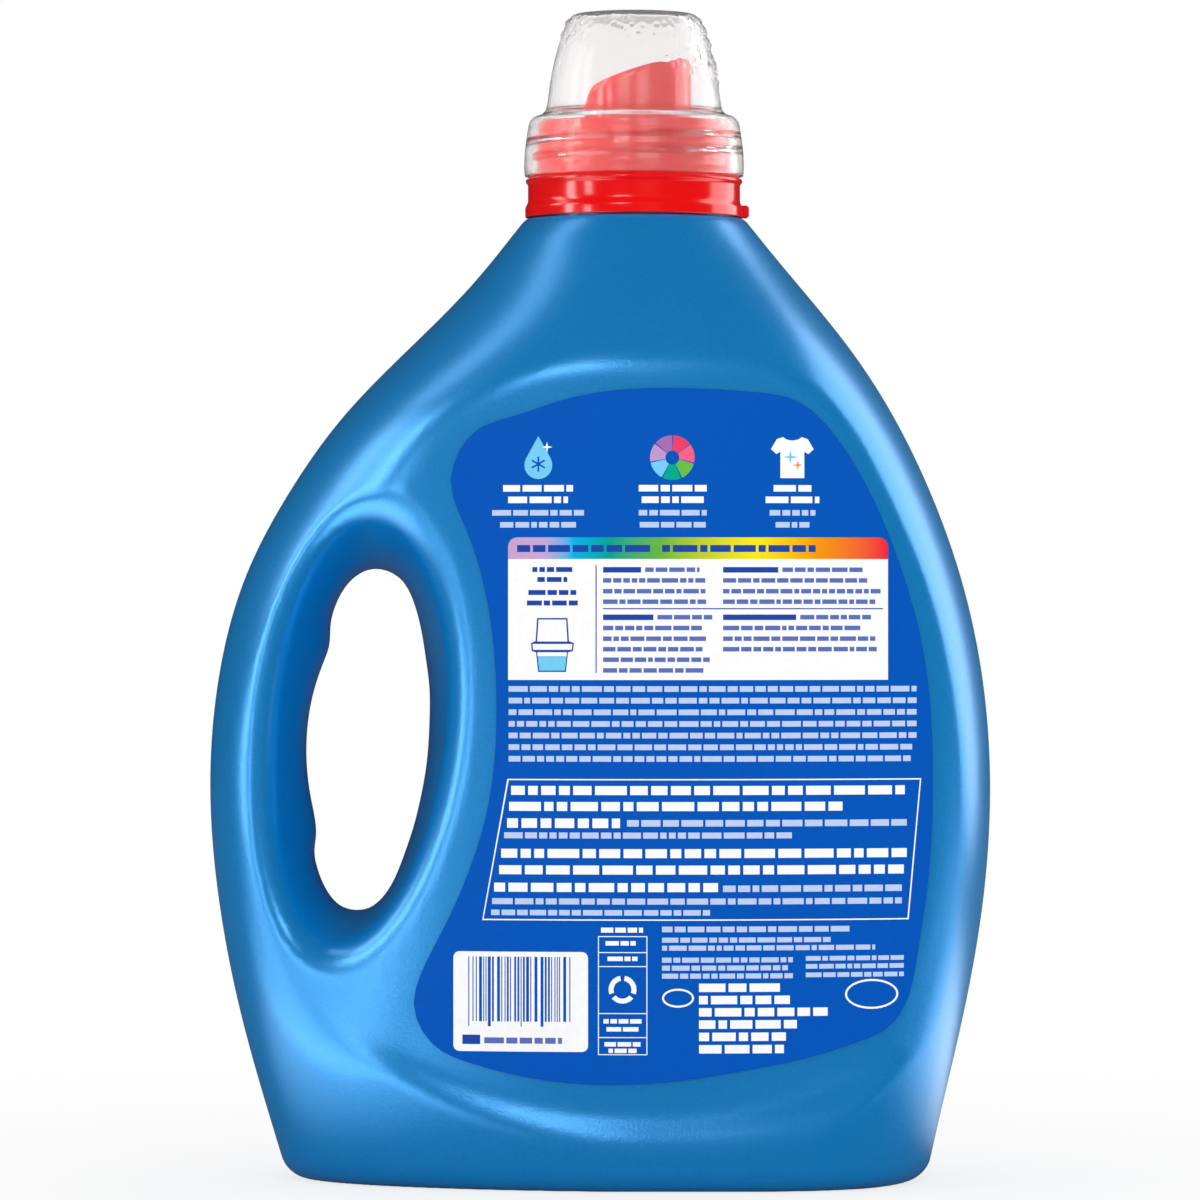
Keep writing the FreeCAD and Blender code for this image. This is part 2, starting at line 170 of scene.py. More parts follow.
def natural_spline(knots, values):
    """Smooth curve through the knots; values may hold several columns."""
    knots = np.asarray(knots, float)
    values = np.asarray(values, float)
    count = len(knots)
    gap = np.diff(knots)
    system = np.eye(count)
    right = np.zeros(values.shape)
    for i in range(1, count - 1):
        system[i, i - 1:i + 2] = gap[i - 1], 2 * (gap[i - 1] + gap[i]), gap[i]
        right[i] = 6 * ((values[i + 1] - values[i]) / gap[i] - (values[i] - values[i - 1]) / gap[i - 1])
    bend = np.linalg.solve(system, right)

    def curve(at):
        at = np.clip(np.asarray(at, float), knots[0], knots[-1])
        i = np.clip(np.searchsorted(knots, at) - 1, 0, count - 2)
        ahead = (knots[i + 1] - at)[..., None]
        behind = (at - knots[i])[..., None]
        span = gap[i][..., None]
        cubic = (bend[i] * ahead ** 3 + bend[i + 1] * behind ** 3) / (6 * span)
        line_a = (values[i] / span - bend[i] * span / 6) * ahead
        line_b = (values[i + 1] / span - bend[i + 1] * span / 6) * behind
        return cubic + line_a + line_b

    return curve


def closed_loop(points, steps):
    """A smooth closed loop through the points, resampled."""
    ring = np.array(points[-4:] + points + points[:4], float)
    reach = np.concatenate([[0], np.cumsum(np.linalg.norm(np.diff(ring, axis=0), axis=1))])
    start = reach[4]
    end = reach[4 + len(points)]
    return natural_spline(reach, ring)(np.linspace(start, end, steps, endpoint=False))


def blend_max(a, b, soft):
    """The larger of two values, with the corner between them rounded off."""
    share = np.clip(0.5 + 0.5 * (a - b) / soft, 0, 1)
    return b + (a - b) * share + soft * share * (1 - share)


def round_max(a, b, radius):
    """The larger of two distances, with a circular fillet where they meet."""
    corner = np.hypot(np.maximum(a + radius, 0), np.maximum(b + radius, 0))
    return np.minimum(np.maximum(a, b), -radius) + corner


station_curve = natural_spline(STATIONS[:, 0], STATIONS[:, 1:])


def section_sizes(z):
    """Centre, half width left and right, half depth and roundness of the body at a height."""
    share = np.clip(z / BODY_HEIGHT, 0, 1)
    left, right, front, round_left, round_right = np.moveaxis(station_curve(share), -1, 0)
    centre = BELLY_CENTRE + (NECK_OFFSET - BELLY_CENTRE) * share ** 4
    neck_left = SHELF_RADIUS - NECK_OFFSET
    neck_right = SHELF_RADIUS + NECK_OFFSET
    wide_left = neck_left + left * (REACH_LEFT - neck_left) + centre
    wide_right = neck_right + right * (REACH_RIGHT - neck_right) - centre
    depth = SHELF_RADIUS + front * (HALF_DEPTH - SHELF_RADIUS)
    return centre, wide_left, wide_right, depth, round_left, round_right


def envelope_level(x, y, z):
    """1 on the body's envelope, less inside."""
    centre, wide_left, wide_right, depth, round_left, round_right = section_sizes(z)
    on_left = x < centre
    across = np.abs(x - centre) / np.where(on_left, wide_left, wide_right)
    roundness = np.where(on_left, round_left, round_right)
    return across ** roundness + (y / depth) ** 2


def envelope_distance(x, y, z):
    """About the distance to the envelope: its level over its slope."""
    step = 0.05
    level = envelope_level(x, y, z)
    slope = np.sqrt(
        ((envelope_level(x + step, y, z) - level) / step) ** 2
        + ((envelope_level(x, y + step, z) - level) / step) ** 2
        + ((envelope_level(x, y, z + step) - level) / step) ** 2
    )
    return (level - 1) / np.maximum(slope, 0.004)


def panel_depth(x, z):
    """Depth of the label panel and of the step at its foot."""
    arc = PANEL_RADIUS - np.sqrt(np.maximum(PANEL_RADIUS ** 2 - (x - PANEL_OFFSET) ** 2, 1))
    centre_height = FOOT_HEIGHT + FOOT_RADIUS
    below = np.where(z < centre_height, np.hypot(x - FOOT_OFFSET, z - centre_height) - FOOT_RADIUS, -50)
    eased = 0.5 * (below + np.sqrt(below ** 2 + STEP_EASE))
    return PANEL_CREST - arc + STEP_SLOPE * eased


def flank_distance(x, y, z):
    """Distance outside the flank, a slab that is gently rounded from top to bottom."""
    low = np.clip((TWIST_TOP - z) / TWIST_RUN, 0, 1)
    angle = FLANK_ANGLE + FLANK_TWIST * low * low * (3 - 2 * low)
    along_normal = -(x - FLANK_TOUCH[0]) * np.sin(angle) + (y - FLANK_TOUCH[1]) * np.cos(angle)
    return FLANK_RADIUS - np.hypot(FLANK_RADIUS - along_normal, z - FLANK_TOUCH[2])


outline_ring = closed_loop(HOLE_OUTLINE, 720)
outline_ring[:, 0] -= HOLE_LEAN * outline_ring[:, 1]
outline_angles = np.arctan2(outline_ring[:, 1], outline_ring[:, 0])
outline_order = np.argsort(outline_angles)
outline_radii = np.linalg.norm(outline_ring, axis=1)[outline_order]
outline_angles = outline_angles[outline_order]


def hole_distance(x, y, z):
    """Positive inside the handle hole, roughly a distance."""
    flare = (y / FLARE_DEPTH) ** 2
    left, right, top, bottom = [edge + flare * move for edge, move in zip(HOLE, FLARE)]
    wide = (left - right) / 2
    tall = (top - bottom) / 2
    up = (z - (top + bottom) / 2) / tall
    across = (x + (left + right) / 2) / wide - HOLE_LEAN * up
    reach = np.hypot(across, up)
    bumpy = np.interp(np.arctan2(up, across), outline_angles, outline_radii, period=2 * math.pi)
    fade = np.minimum(np.abs(y) / GRIP_FADE, 1)
    edge = bumpy + fade * (1 - bumpy)
    stretch = np.sqrt(((across / wide) ** 2 + (up / tall) ** 2)) / np.maximum(reach, 1e-6)
    return (edge - reach) / np.maximum(stretch, 0.015)


def body_distance(x, y, z):
    """The bottle's outer form: negative inside, zero on the surface."""
    y = np.abs(y)
    form = envelope_distance(x, y, z)
    crease = np.interp(z, CREASE_HEIGHTS, CREASE_SOFT)
    form = blend_max(form, y - panel_depth(x, z), crease)
    form = blend_max(form, flank_distance(x, y, z), FLANK_SOFT)
    inner_side = np.clip((x - HANDLE_EDGE) / HANDLE_RUN, 0, 1)
    soft = HANDLE_SOFT[0] + (HANDLE_SOFT[1] - HANDLE_SOFT[0]) * inner_side
    form = blend_max(form, hole_distance(x, y, z), soft)
    form = round_max(form, -z, BASE_ROUND)
    return round_max(form, z - BODY_HEIGHT, TOP_ROUND)


def base_recess(x, y, z):
    """The recess under the base: positive inside it."""
    inset = envelope_distance(x, y, np.zeros_like(z)) + BASE_RIM
    return -blend_max(inset + z, z - BASE_RECESS, RECESS_SOFT)


def outer_form(x, y, z):
    return blend_max(body_distance(x, y, z), base_recess(x, y, z), RIM_SOFT)


def inner_form(x, y, z):
    return outer_form(x, y, z) + WALL


def surface_mesh(form, voxel):
    """Quads on the zero level of a form, with the vertices moved exactly onto it."""
    low = np.array(FORM_LOW)
    high = np.array(FORM_HIGH)
    counts = np.ceil((high - low) / voxel).astype(int) + 1
    axes = [low[i] + voxel * np.arange(counts[i]) for i in range(3)]
    x, y, z = np.meshgrid(*axes, indexing="ij")
    values = form(x, y, z)
    grid = openvdb.FloatGrid(10.0)
    grid.copyFromArray(np.clip(values, -10, 10).astype(np.float32))
    points, quads = grid.convertToQuads(isovalue=0.0)
    points = low + points * voxel
    step = 0.02
    for _ in range(4):
        value = form(*points.T)
        slopes = []
        for axis in range(3):
            shifted = points.copy()
            shifted[:, axis] += step
            slopes.append((form(*shifted.T) - value) / step)
        slope = np.stack(slopes, axis=1)
        size = np.maximum((slope ** 2).sum(axis=1), 0.05)
        move = slope * (value / size)[:, None]
        length = np.linalg.norm(move, axis=1, keepdims=True)
        points -= move * np.minimum(1, 0.5 * voxel / np.maximum(length, 1e-9))
    return points, quads


def add_object(name, data):
    thing = bpy.data.objects.new(name, data)
    bpy.context.scene.collection.objects.link(thing)
    return thing


def new_object(name, points, faces, unit=MM):
    mesh = bpy.data.meshes.new(name)
    mesh.from_pydata([tuple(p) for p in np.asarray(points) * unit], [], [list(map(int, f)) for f in faces])
    mesh.update()
    return add_object(name, mesh)


def shade(thing, angle):
    """Smooth shading, apart from edges that turn by more than the angle in degrees."""
    mesh = thing.data
    mesh.polygons.foreach_set("use_smooth", [True] * len(mesh.polygons))
    bm = bmesh.new()
    bm.from_mesh(mesh)
    limit = math.radians(angle)
    for edge in bm.edges:
        edge.smooth = len(edge.link_faces) == 2 and edge.calc_face_angle(0) < limit
    bm.to_mesh(mesh)
    bm.free()


def apply_boolean(target, tool, operation):
    cut = target.modifiers.new("cut", "BOOLEAN")
    cut.object = tool
    cut.operation = operation
    cut.solver = "EXACT"
    depsgraph = bpy.context.evaluated_depsgraph_get()
    made = bpy.data.meshes.new_from_object(target.evaluated_get(depsgraph))
    target.modifiers.clear()
    target.data = made
    bpy.data.objects.remove(tool)


def ring_faces(rings, segments):
    """Quads round a turned form whose points come segment by segment."""
    faces = []
    for i in range(segments):
        here = i * rings
        following = (i + 1) % segments * rings
        for j in range(rings):
            above = (j + 1) % rings
            faces.append((here + j, following + j, following + above, here + above))
    return faces


def lathe(name, outline, segments, relief=None):
    """Turns a closed outline of (radius, height) round the neck's axis.

    relief(angle, radius, height) may change the radius from place to place.
    """
    outline = np.asarray(outline, float)
    angles = 2 * math.pi * np.arange(segments) / segments
    angle = np.repeat(angles[:, None], len(outline), axis=1)
    radius = np.tile(outline[:, 0], (segments, 1))
    height = np.tile(outline[:, 1], (segments, 1))
    if relief:
        radius = radius + relief(angle, radius, height)
    x = NECK_OFFSET + radius * np.cos(angle)
    y = radius * np.sin(angle)
    points = np.stack([x, y, height], axis=-1).reshape(-1, 3)
    return new_object(name, points, ring_faces(len(outline), segments))


def weld(thing):
    """Joins points that coincide, as on the axis, and turns every face outwards."""
    bm = bmesh.new()
    bm.from_mesh(thing.data)
    bmesh.ops.remove_doubles(bm, verts=bm.verts, dist=1e-6)
    bmesh.ops.dissolve_degenerate(bm, edges=bm.edges, dist=1e-7)
    bmesh.ops.recalc_face_normals(bm, faces=bm.faces)
    bm.to_mesh(thing.data)
    bm.free()


def colour(red, green, blue):
    """An sRGB colour of 0 to 255 as linear values."""
    values = []
    for channel in (red, green, blue):
        share = channel / 255
        values.append(share / 12.92 if share <= 0.04045 else ((share + 0.055) / 1.055) ** 2.4)
    return (*values, 1.0)


def new_material(name):
    material = bpy.data.materials.new(name)
    material.use_nodes = True
    return material, material.node_tree, material.node_tree.nodes["Principled BSDF"]


def set_values(node, values):
    for name, value in values.items():
        node.inputs[name].default_value = value


def map_range(tree, value, start, end, low=0.0, high=1.0):
    """A node that turns start to end into low to high."""
    node = tree.nodes.new("ShaderNodeMapRange")
    set_values(node, {"From Min": start, "From Max": end, "To Min": low, "To Max": high})
    tree.links.new(value, node.inputs["Value"])
    return node.outputs["Result"]


def combined(tree, operation, first, second):
    """A math node over two values."""
    node = tree.nodes.new("ShaderNodeMath")
    node.operation = operation
    tree.links.new(first, node.inputs[0])
    tree.links.new(second, node.inputs[1])
    return node.outputs["Value"]


def mixed(tree, share, first, second):
    """A shader between two others, the second one where the share is 1."""
    mix = tree.nodes.new("ShaderNodeMixShader")
    tree.links.new(share, mix.inputs["Fac"])
    tree.links.new(first, mix.inputs[1])
    tree.links.new(second, mix.inputs[2])
    return mix.outputs["Shader"]


def colour_ramp(tree, value, skin, stops):
    """Base colour from a ramp through (position, colour) stops."""
    ramp = tree.nodes.new("ShaderNodeValToRGB")
    elements = ramp.color_ramp.elements
    elements[0].position, elements[0].color = stops[0]
    elements[1].position, elements[1].color = stops[-1]
    for position, tone in stops[1:-1]:
        elements.new(position).color = tone
    tree.links.new(value, ramp.inputs["Fac"])
    tree.links.new(ramp.outputs["Color"], skin.inputs["Base Color"])


def add_grain(tree, skin, scale, strength):
    """A fine moulded texture."""
    place = tree.nodes.new("ShaderNodeTexCoord")
    grain = tree.nodes.new("ShaderNodeTexNoise")
    set_values(grain, {"Scale": scale, "Detail": 2})
    tree.links.new(place.outputs["Object"], grain.inputs["Vector"])
    bump = tree.nodes.new("ShaderNodeBump")
    set_values(bump, {"Strength": strength, "Distance": 0.0001})
    tree.links.new(grain.outputs["Fac"], bump.inputs["Height"])
    tree.links.new(bump.outputs["Normal"], skin.inputs["Normal"])
    return grain.outputs["Fac"]


def bottle_material():
    """Pearlescent blue: part plastic, part metal flake, with a very fine grain."""
    material, tree, skin = new_material("bottle_blue")
    grain = add_grain(tree, skin, 1600, 0.3)
    colour_ramp(tree, grain, skin, [(0.3, colour(0, 127, 197)), (0.7, colour(2, 135, 208))])
    set_values(skin, {
        "Metallic": 0.25,
        "Roughness": 0.28,
        "Specular IOR Level": 0.9,
        "Specular Tint": (0.62, 0.88, 1.0, 1),
    })
    return material


def make_neck():
    bottom = BODY_HEIGHT - 0.6
    chamfer = 0.4
    inside = 10.0
    profile = [
        (NECK_RADIUS, bottom), (NECK_RADIUS, NECK_TOP - chamfer), (NECK_RADIUS - chamfer, NECK_TOP),
        (inside, NECK_TOP), (inside, bottom),
    ]
    return lathe("neck", profile, NECK_SEGMENTS)


def make_bore():
    """The way through the neck, longer than the neck at both ends."""
    radius = NECK_RADIUS - WALL
    bottom = BODY_HEIGHT - 3
    top = NECK_TOP + 3
    profile = [(radius, bottom), (radius, top), (ON_AXIS, top), (ON_AXIS, bottom)]
    return lathe("bore", profile, NECK_SEGMENTS)


def make_bottle():
    outer = new_object("bottle_shell", *surface_mesh(outer_form, SHELL_VOXEL))
    inner = new_object("bottle_hollow", *surface_mesh(inner_form, HOLLOW_VOXEL))
    apply_boolean(outer, make_neck(), "UNION")
    apply_boolean(inner, make_bore(), "UNION")
    apply_boolean(outer, inner, "DIFFERENCE")
    shade(outer, 40)
    outer.data.materials.append(bottle_material())
    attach(outer, "bottle")
    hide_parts("bottle")


# Closure, in millimetres; radii are from the neck's axis
COLLAR_BOTTOM = 239.75
DECK_BOTTOM = 249.0
DECK_TOP = 250.4
THREAD_WALL_RADIUS = 24.1
THREAD_WALL_TOP = 263.5
SPOUT_WALL = 1.3
SPOUT_RADIUS = 14.25
CAP_BOTTOM = 250.1
CAP_TOP = 290.85
DIMPLES = 520
DIMPLE_RISE = 0.7
FITTING_SEGMENTS = 192
CAP_SEGMENTS = 360
SPOUT_ROWS = 26
LIP_FOOT = (-12.9, 263.0)
LIP_SLOPE = 14
NUB_WIDTH = 5.0


def eased_outline(corners, steps=4):
    """Outline through (radius, height, rounding) corners, each corner turned by a short curve."""
    corners = np.asarray(corners, float)
    outline = []
    count = len(corners)
    for i, (r, z, rounding) in enumerate(corners):
        here = np.array([r, z])
        before = corners[i - 1][:2] - here
        after = corners[(i + 1) % count][:2] - here
        reach = min(rounding, np.linalg.norm(before) * 0.45, np.linalg.norm(after) * 0.45)
        if reach < 0.02:
            outline.append(here)
            continue
        start = here + before / np.linalg.norm(before) * reach
        end = here + after / np.linalg.norm(after) * reach
        for t in np.linspace(0, 1, steps + 1):
            outline.append((1 - t) ** 2 * start + 2 * t * (1 - t) * here + t ** 2 * end)
    return np.array(outline)


def densify(outline, step, fine_step=None, fine=None):
    """Adds points so that no run of the closed outline is longer than the step.

    Where fine(radius, height) holds, the finer step counts.
    """
    dense = []
    for i in range(len(outline)):
        here = outline[i]
        ahead = outline[(i + 1) % len(outline)]
        run = fine_step if fine and fine(*((here + ahead) / 2)) else step
        cuts = max(1, int(math.ceil(np.linalg.norm(ahead - here) / run)))
        for k in range(cuts):
            dense.append(here + (ahead - here) * k / cuts)
    return np.array(dense)


def helix_ridge(angle, height, start_angle, start_height, pitch, turns, width):
    """1 on the crest of a screw ridge, falling to 0 beside it and at its two ends."""
    crest = np.zeros(angle.shape)
    for lap in range(int(math.ceil(turns)) + 1):
        run = (angle - start_angle) % (2 * math.pi) + 2 * math.pi * lap
        share = run / (2 * math.pi * turns)
        ends = np.clip(np.minimum(share, 1 - share) * turns * 12, 0, 1)
        line = start_height + pitch * run / (2 * math.pi)
        ridge = np.clip(1.4 - np.abs(height - line) / width * 1.4, 0, 1)
        crest = np.maximum(crest, ends * ridge)
    return crest


def spout_lip(across):
    """Height of the spout's pouring lip from the handle side to the front."""
    start, foot = LIP_FOOT
    lip = natural_spline([start, -12.2, -11.2, -9.3, -6.4, 0.0, 8.0, 14.3],
                         [[foot], [267.6], [270.8], [272.7], [274.0], [276.2], [278.3], [278.9]])
    notch = np.maximum(foot - (start - across) * LIP_SLOPE, DECK_TOP + 1.2)
    return np.where(across < start, notch, lip(across)[..., 0])


def fitting_corners():
    """The fitting's section: skirt, collar, threaded wall, deck and plug ring."""
    skirt_inside = NECK_RADIUS + 0.3
    plug = NECK_RADIUS - WALL - 0.3
    plug_inside = plug - SPOUT_WALL
    plug_bottom = DECK_BOTTOM - 5
    wall_inside = THREAD_WALL_RADIUS - SPOUT_WALL
    spout_inside = SPOUT_RADIUS - SPOUT_WALL
    return [
        (skirt_inside, COLLAR_BOTTOM, 0.2), (27.2, COLLAR_BOTTOM, 0.35), (27.2, 242.2, 0.4),
        (26.5, 243.5, 0.7), (26.5, 247.9, 0.5), (27.05, 248.5, 0.3), (27.05, 249.2, 0.4),
        (26.3, 249.5, 0.3), (25.9, 250.6, 0.6), (THREAD_WALL_RADIUS, 252.6, 1.2),
        (THREAD_WALL_RADIUS, THREAD_WALL_TOP, 0.5), (wall_inside, THREAD_WALL_TOP, 0.5),
        (wall_inside, DECK_TOP, 0.8), (SPOUT_RADIUS - 0.6, DECK_TOP, 0.1), (spout_inside, DECK_TOP, 0.1),
        (spout_inside, DECK_BOTTOM, 0.3), (plug_inside, DECK_BOTTOM, 0.5), (plug_inside, plug_bottom, 0.5),
        (plug, plug_bottom, 0.5), (plug, DECK_BOTTOM, 0.1), (skirt_inside, DECK_BOTTOM, 0.1),
    ]


def fitting_thread(angle, radius, height):
    """The raised screw thread on the outside of the fitting's wall."""
    outside = radius > THREAD_WALL_RADIUS - 0.3
    ridge = helix_ridge(angle, height, start_angle=1.9, start_height=253.9, pitch=4.2, turns=1.75, width=1.1)
    return np.where(outside & (height > 252.2) & (height < 262.9), 1.15 * ridge, 0)


def make_spout_tube():
    """The slanted pouring tube, up its outside and down its inside, with a rounded lip."""
    foot = DECK_TOP - 0.7
    points = []
    for i in range(FITTING_SEGMENTS):
        angle = 2 * math.pi * i / FITTING_SEGMENTS
        top = float(spout_lip(np.array(SPOUT_RADIUS * math.cos(angle))))
        for radius, direction in ((SPOUT_RADIUS, 1), (SPOUT_RADIUS - SPOUT_WALL, -1)):
            for j in range(SPOUT_ROWS):
                share = (j if direction > 0 else SPOUT_ROWS - 1 - j) / (SPOUT_ROWS - 1)
                z = foot + share * (top - foot)
                ease = max(0, 1 - (top - z) / 0.45)
                r = radius - direction * 0.3 * ease ** 2
                points.append((NECK_OFFSET + r * math.cos(angle), r * math.sin(angle), z))
    return new_object("spout_tube", points, ring_faces(2 * SPOUT_ROWS, FITTING_SEGMENTS))


def make_nub():
    """The small locating nub at the front of the collar, chamfered on its outer end."""
    sections = (
        (26.3, COLLAR_BOTTOM, 242.75),
        (28.2, COLLAR_BOTTOM, 242.75),
        (28.7, COLLAR_BOTTOM + 0.5, 242.2),
    )
    points = []
    for x, low, high in sections:
        for y in (-NUB_WIDTH / 2, NUB_WIDTH / 2):
            points += [(NECK_OFFSET + x, y, low), (NECK_OFFSET + x, y, high)]
    faces = [(0, 1, 3, 2), (0, 4, 5, 1), (4, 8, 9, 5), (1, 5, 7, 3), (5, 9, 11, 7), (2, 3, 7, 6),
             (6, 7, 11, 10), (0, 2, 6, 4), (4, 6, 10, 8), (8, 10, 11, 9)]
    return new_object("nub", points, faces)


def make_pour_spout():
    outline = densify(eased_outline(fitting_corners()), 0.9)
    fitting = lathe("spout_fitting", outline, FITTING_SEGMENTS, fitting_thread)
    weld(fitting)
    apply_boolean(fitting, make_spout_tube(), "UNION")
    apply_boolean(fitting, make_nub(), "UNION")
    shade(fitting, 38)
    fitting.data.materials.clear()
    fitting.data.materials.append(closure_material())
    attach(fitting, "bottle")
    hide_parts("pour_spout")


def cup_wall_middle(height):
    """Radius half way through the wall of the measuring cup."""
    return np.interp(height, [263.9, 266.0, 279.0, 287.6, 291], [21.5, 21.2, 19.2, 16.4, 14.0])


def relief_zone(radius, height):
    """Where the cap's wall carries embossed drops or its thread."""
    drops = height > 268 and radius > cup_wall_middle(height)
    thread = 251.2 < height < 262.8 and radius < 26.25
    return drops or thread


def cap_corners():
    """The cap's section: up the outside to the crown, then down the inside."""
    outer = [
        (26.2, CAP_BOTTOM, 0.2), (27.3, CAP_BOTTOM, 0.3), (27.45, 252.0, 1.0), (27.4, 255.5, 2.0),
        (26.9, 259.5, 2.0), (26.3, 263.3, 0.9), (25.2, 264.9, 0.9), (23.2, 265.4, 0.9), (22.0, 266.6, 0.9),
        (21.5, 269.5, 2.0), (20.9, 274.0, 3.0), (19.9, 279.3, 3.0), (18.5, 284.0, 3.0), (17.0, 288.4, 1.6),
        (15.4, 290.5, 1.4), (12.5, CAP_TOP, 1.5), (7.0, CAP_TOP - 0.1, 1.5), (ON_AXIS, CAP_TOP - 0.15, 0),
    ]
    inner = [
        (ON_AXIS, CAP_TOP - 1.45, 0), (7.0, CAP_TOP - 1.45, 1.5), (12.0, CAP_TOP - 1.5, 1.5),
        (14.4, 289.2, 1.2), (15.7, 287.6, 1.6), (17.1, 283.5, 3.0), (18.5, 279.0, 3.0), (19.5, 273.8, 3.0),
        (20.1, 269.0, 2.0), (20.6, 264.9, 0.8), (24.4, 263.9, 0.8), (25.3, 261.8, 0.9), (26.0, 256.5, 1.5),
        (26.1, 251.5, 1.0),
    ]
    return outer + inner


def drawn_dimples():
    """Angle, height, size and strength of every embossed drop."""
    draw = random.Random(11)
    spans = ((0, 2 * math.pi), (270.5, 290.0), (0.45, 0.85), (0.5, 1.0))
    return [[draw.uniform(*span) for span in spans] for _ in range(DIMPLES)]


def cap_relief(angle, radius, height):
    """Embossed drops on the outside of the cup, and the screw thread inside the skirt."""
    rise = np.zeros(angle.shape)
    for spot_angle, spot_height, spot_size, strength in drawn_dimples():
        turn = (angle - spot_angle + math.pi) % (2 * math.pi) - math.pi
        away = (turn * radius) ** 2 + (height - spot_height) ** 2
        near = away < (3 * spot_size) ** 2
        rise[near] = np.maximum(rise[near], strength * np.exp(-away[near] / spot_size ** 2))
    lowest = 278.0 - 6.0 * np.cos(angle)
    share = np.clip((height - lowest) / 2.0, 0, 1) * np.clip((290.2 - height) / 1.2, 0, 1)
    on_cup = (radius > cup_wall_middle(height)) & (height > 269.5) & (height < 290.3)
    drops = np.where(on_cup, DIMPLE_RISE * rise * share, 0)
    ridge = helix_ridge(angle, height, start_angle=3.4, start_height=254.6, pitch=3.9, turns=1.6, width=0.75)
    inside = (radius > 25.0) & (radius < 26.25) & (height > 251.6) & (height < 262.4)
    return drops - np.where(inside, 0.75 * ridge, 0)


def make_dosing_cap():
    outline = densify(eased_outline(cap_corners()), 1.6, 0.42, relief_zone)
    cap = lathe("measuring_cap", outline, CAP_SEGMENTS, cap_relief)
    weld(cap)
    shade(cap, 50)
    cap.data.materials.append(cap_material())
    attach(cap, "cap")
    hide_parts("dosing_cap")


def closure_material():
    """Glossy red plastic."""
    material, tree, skin = new_material("closure_red")
    set_values(skin, {"Base Color": colour(236, 0, 2), "Roughness": 0.16, "Specular IOR Level": 0.5})
    add_grain(tree, skin, 900, 0.05)
    return material


def cap_material():
    """Clear plastic, a little milky; its low index keeps the closure behind it undistorted."""
    material, tree, skin = new_material("cap_clear")
    set_values(skin, {
        "Base Color": (0.955, 0.95, 0.95, 1),
        "Roughness": 0.15,
        "IOR": 1.2,
        "Transmission Weight": 0.95,
    })
    add_grain(tree, skin, 200, 0.06)
    return material


# Print on the labels, on a grid of 1200 squares with its middle at the camera's height
PRINT_UNIT = 0.2432
PRINT_MIDDLE = (600, 600)
PRINT_HEIGHT = 144.25
HEADER_LEFT = 508
HEADER_RIGHT = 889
PRINT_COLOURS = {
    "blue": (0, 85, 184),
    "white": (250, 250, 250),
    "pale": (190, 206, 238),
    "dark": (30, 70, 165),
    "mid": (92, 112, 182),
    "sky": (116, 204, 242),
    "lilac": (193, 152, 202),
    "violet": (166, 108, 178),
    "rose": (240, 62, 100),
    "pink": (245, 96, 132),
    "green": (104, 188, 70),
    "teal": (0, 168, 140),
    "orange": (245, 146, 28),
    "rainbow": None,
}


def plate(x0, y0, x1, y1, rounding=0, corners=4):
    """A rectangle on the print grid; the first corners (top right, top left, ...) may be rounded."""
    spots = [(x1, y0, -1, 1), (x0, y0, 1, 1), (x0, y1, 1, -1), (x1, y1, -1, -1)]
    starts = (0, 90, 180, 270)
    outline = []
    for i, (x, y, inward_x, inward_y) in enumerate(spots):
        if rounding == 0 or i >= corners:
            outline.append((x, y))
            continue
        for step in range(5):
            angle = math.radians(starts[i] + 90 * step / 4)
            centre = (x + inward_x * rounding, y + inward_y * rounding)
            outline.append((centre[0] + rounding * math.cos(angle), centre[1] - rounding * math.sin(angle)))
    return outline


def wedge(x, y, inner, outer, start, end):
    """Part of a ring, with angles in degrees clockwise from the top."""
    outline = []
    for radius, first, last in ((outer, start, end), (inner, end, start)):
        for step in range(7):
            angle = math.radians(first + (last - first) * step / 6)
            outline.append((x + radius * math.sin(angle), y - radius * math.cos(angle)))
    return outline


def star(x, y, points, reach, waist):
    """A sparkle with its first point at the top."""
    outline = []
    for step in range(2 * points):
        radius = waist if step % 2 else reach
        angle = math.pi * step / points
        outline.append((x + radius * math.sin(angle), y - radius * math.cos(angle)))
    return outline


def drop(x, top, bottom, half):
    """A water drop: a circle with a drawn-out tip."""
    centre = bottom - half
    tip_angle = math.acos(half / (centre - top))
    outline = [(x, top)]
    for step in range(17):
        angle = tip_angle + (2 * math.pi - 2 * tip_angle) * step / 16
        outline.append((x + half * math.sin(angle), centre - half * math.cos(angle)))
    return outline


def words(draw, left, right, top, bottom, tone, solid=False):
    """One row of print without letters: a run of small bars, one for each word.

    A solid row is one bar. It takes the same draws, so that the rows after it stay as they are.
    """
    height = bottom - top
    bars = []
    x = left
    while x < right - 0.5 * height:
        length = draw.uniform(1.0, 3.6) * height
        end = min(x + length, right)
        if right - end < 0.8 * height:
            end = right
        bars.append((plate(x, top, end, bottom), tone))
        x = end + 0.38 * height
    if solid:
        return [(plate(left, top, right, bottom), tone)]
    return bars


def centred_words(draw, middle, half, top, bottom, tone):
    return words(draw, middle - half, middle + half, top, bottom, tone)


def strip(points, width):
    """A thin closed frame along a four-cornered outline: its four sides."""
    outer = np.array(points, float)
    inward = outer.mean(axis=0) - outer
    inner = outer + inward / np.abs(inward) * width
    pairs = [(i, (i + 1) % len(outer)) for i in range(len(outer))]
    return [[tuple(outer[i]), tuple(outer[j]), tuple(inner[j]), tuple(inner[i])] for i, j in pairs]


